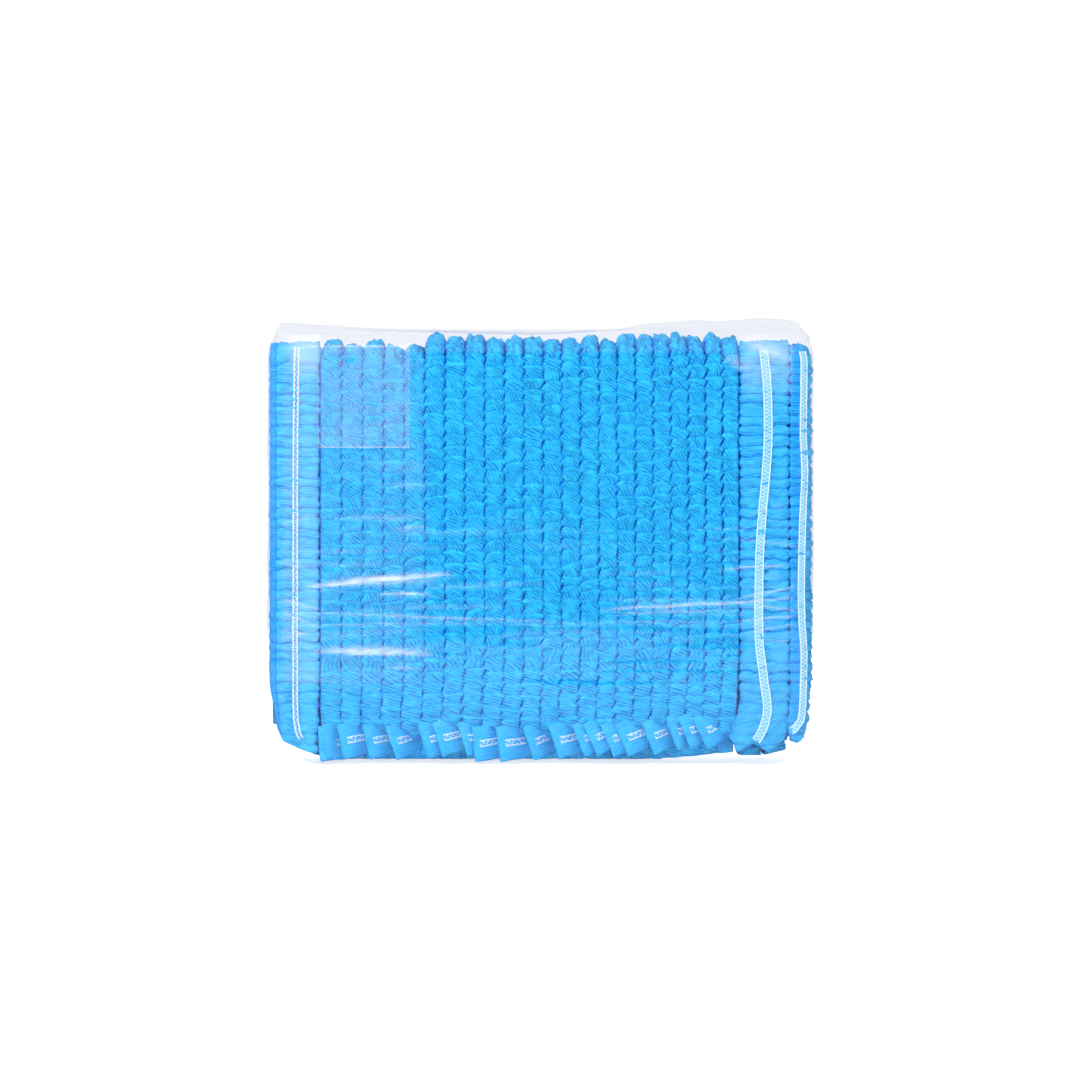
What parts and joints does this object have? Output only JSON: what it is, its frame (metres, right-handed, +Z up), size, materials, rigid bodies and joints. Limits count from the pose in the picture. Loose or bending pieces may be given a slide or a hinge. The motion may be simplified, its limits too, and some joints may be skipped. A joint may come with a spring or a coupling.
{
  "type": "bagged pack of disposable hairnets",
  "caption": "Clear film bag standing upright, packed with two rows of blue nonwoven hairnets, each folded into a flat strip gathered along its length by its elastic.",
  "frame": {"origin": "middle of the flat base that the pack stands on", "axes": "+Z up, +X to the right along the pack's width, -Y out of the front that the picture shows"},
  "size_m": [0.27, 0.052, 0.2244],
  "materials": {
    "nonwoven": "matte spunbond nonwoven, gathered",
    "elastic": "white stitched elastic tape",
    "film": "clear glossy polyethylene film, lavender where it is doubled"
  },
  "bodies": {
    "root": {"bag_film": "film", "elastic_corner": "elastic", "elastic_left": "elastic", "elastic_right": "elastic", "hairnet_back_01": "nonwoven", "hairnet_back_02": "nonwoven", "hairnet_back_03": "nonwoven", "hairnet_back_04": "nonwoven", "hairnet_back_05": "nonwoven", "hairnet_back_06": "nonwoven", "hairnet_back_07": "nonwoven", "hairnet_back_08": "nonwoven", "hairnet_back_09": "nonwoven", "hairnet_back_10": "nonwoven", "hairnet_back_11": "nonwoven", "hairnet_back_12": "nonwoven", "hairnet_back_13": "nonwoven", "hairnet_back_14": "nonwoven", "hairnet_back_15": "nonwoven", "hairnet_back_16": "nonwoven", "hairnet_back_17": "nonwoven", "hairnet_back_18": "nonwoven", "hairnet_back_19": "nonwoven", "hairnet_back_20": "nonwoven", "hairnet_back_21": "nonwoven", "hairnet_back_22": "nonwoven", "hairnet_corner_back": "nonwoven", "hairnet_corner_front": "nonwoven", "hairnet_front_01": "nonwoven", "hairnet_front_02": "nonwoven", "hairnet_front_03": "nonwoven", "hairnet_front_04": "nonwoven", "hairnet_front_05": "nonwoven", "hairnet_front_06": "nonwoven", "hairnet_front_07": "nonwoven", "hairnet_front_08": "nonwoven", "hairnet_front_09": "nonwoven", "hairnet_front_10": "nonwoven", "hairnet_front_11": "nonwoven", "hairnet_front_12": "nonwoven", "hairnet_front_13": "nonwoven", "hairnet_front_14": "nonwoven", "hairnet_front_15": "nonwoven", "hairnet_front_16": "nonwoven", "hairnet_front_17": "nonwoven", "hairnet_front_18": "nonwoven", "hairnet_front_19": "nonwoven", "hairnet_front_20": "nonwoven", "hairnet_front_21": "nonwoven", "hairnet_front_22": "nonwoven", "hairnet_inner_left_1": "nonwoven", "hairnet_inner_left_2": "nonwoven", "hairnet_inner_right_1": "nonwoven", "hairnet_inner_right_2": "nonwoven", "hairnet_left_back": "nonwoven", "hairnet_left_front": "nonwoven", "hairnet_right_back": "nonwoven", "hairnet_right_front": "nonwoven"}
  },
  "joints": []
}
